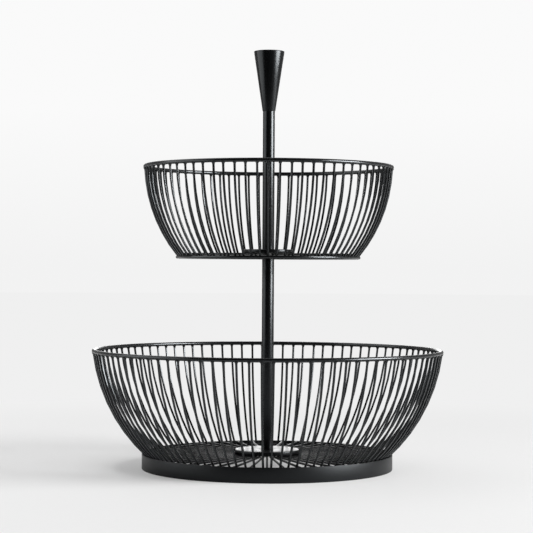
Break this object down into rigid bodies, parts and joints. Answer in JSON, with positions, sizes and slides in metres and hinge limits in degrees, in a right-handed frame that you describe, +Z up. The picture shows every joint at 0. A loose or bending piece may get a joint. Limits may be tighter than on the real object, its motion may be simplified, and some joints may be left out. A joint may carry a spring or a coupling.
{
  "type": "tiered wire basket",
  "caption": "Tiered wire fruit basket: round bowed wire bowls one above the other on a central tube, with a flat base band below and a cone handle on top.",
  "frame": {"origin": "centre of the base band's underside, on the surface that the basket stands on", "axes": "+Z up along the post, towards the handle; the picture looks along +Y"},
  "size_m": [0.3506, 0.3506, 0.4165],
  "materials": {
    "powder_coat": "black satin powder coat on steel",
    "steel_hardware": "bright zinc plated steel"
  },
  "bodies": {
    "root": {"base_band": "powder_coat", "base_screw": "steel_hardware", "handle": "powder_coat", "lower_base_ring": "powder_coat", "lower_hub": "powder_coat", "lower_post": "powder_coat", "lower_ribs_1": "powder_coat", "lower_ribs_2": "powder_coat", "lower_ribs_3": "powder_coat", "lower_ribs_4": "powder_coat", "lower_ribs_5": "powder_coat", "lower_ribs_6": "powder_coat", "lower_ribs_7": "powder_coat", "lower_ribs_8": "powder_coat", "lower_rim": "powder_coat", "lower_spokes_1": "powder_coat", "lower_spokes_2": "powder_coat", "lower_spokes_3": "powder_coat", "lower_spokes_4": "powder_coat", "studded_plugs": "steel_hardware", "threaded_inserts": "steel_hardware", "upper_base_ring": "powder_coat", "upper_hub": "powder_coat", "upper_post": "powder_coat", "upper_ribs_1": "powder_coat", "upper_ribs_2": "powder_coat", "upper_ribs_3": "powder_coat", "upper_ribs_4": "powder_coat", "upper_ribs_5": "powder_coat", "upper_ribs_6": "powder_coat", "upper_ribs_7": "powder_coat", "upper_ribs_8": "powder_coat", "upper_rim": "powder_coat", "upper_spokes_1": "powder_coat", "upper_spokes_2": "powder_coat", "upper_spokes_3": "powder_coat", "upper_spokes_4": "powder_coat"}
  },
  "joints": []
}
